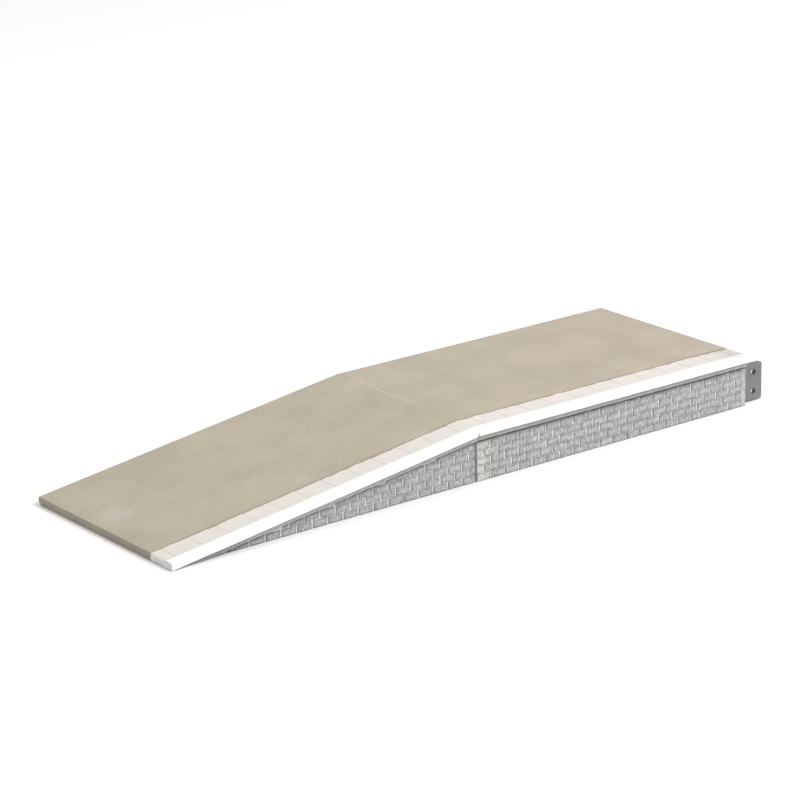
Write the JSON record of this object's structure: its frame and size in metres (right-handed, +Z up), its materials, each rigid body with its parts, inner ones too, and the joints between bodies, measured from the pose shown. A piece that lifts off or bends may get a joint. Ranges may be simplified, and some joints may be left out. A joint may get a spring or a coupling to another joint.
{
  "type": "model railway platform ramp",
  "caption": "Sloping end section of a small-scale railway platform: plain deck, flagged coping with white edge, stone-faced walls, and joiner plates for the next section.",
  "frame": {"origin": "centre of the footprint, joiner plates included, on the ground", "axes": "+X up the ramp from the toe towards the level landing, +Y from the track side with the coping towards the plain back, +Z up"},
  "size_m": [0.1384, 0.0432, 0.0104],
  "materials": {
    "deck_paint": "matt painted polystyrene, warm grey-beige, faint brush streaks",
    "flagstone_paint": "matt painted polystyrene flags, pale warm stone, with a white painted edge",
    "stone_paint": "matt painted polystyrene, mottled grey stone with pale mortar",
    "joiner_plastic": "moulded polystyrene, dark grey, satin",
    "former_plastic": "moulded polystyrene, mid grey, unpainted"
  },
  "bodies": {
    "root": {"ramp_deck": "deck_paint", "landing_deck": "deck_paint", "ramp_coping": "flagstone_paint", "landing_coping": "flagstone_paint", "front_ramp_wall": "stone_paint", "front_landing_wall": "stone_paint", "back_ramp_wall": "stone_paint", "back_landing_wall": "stone_paint", "front_joiner": "joiner_plastic", "back_joiner": "joiner_plastic", "toe_strip": "deck_paint", "ramp_former_low": "former_plastic", "ramp_former_high": "former_plastic", "crest_former": "former_plastic", "landing_former_inner": "former_plastic", "landing_former_outer": "former_plastic", "end_former": "former_plastic"}
  },
  "joints": []
}
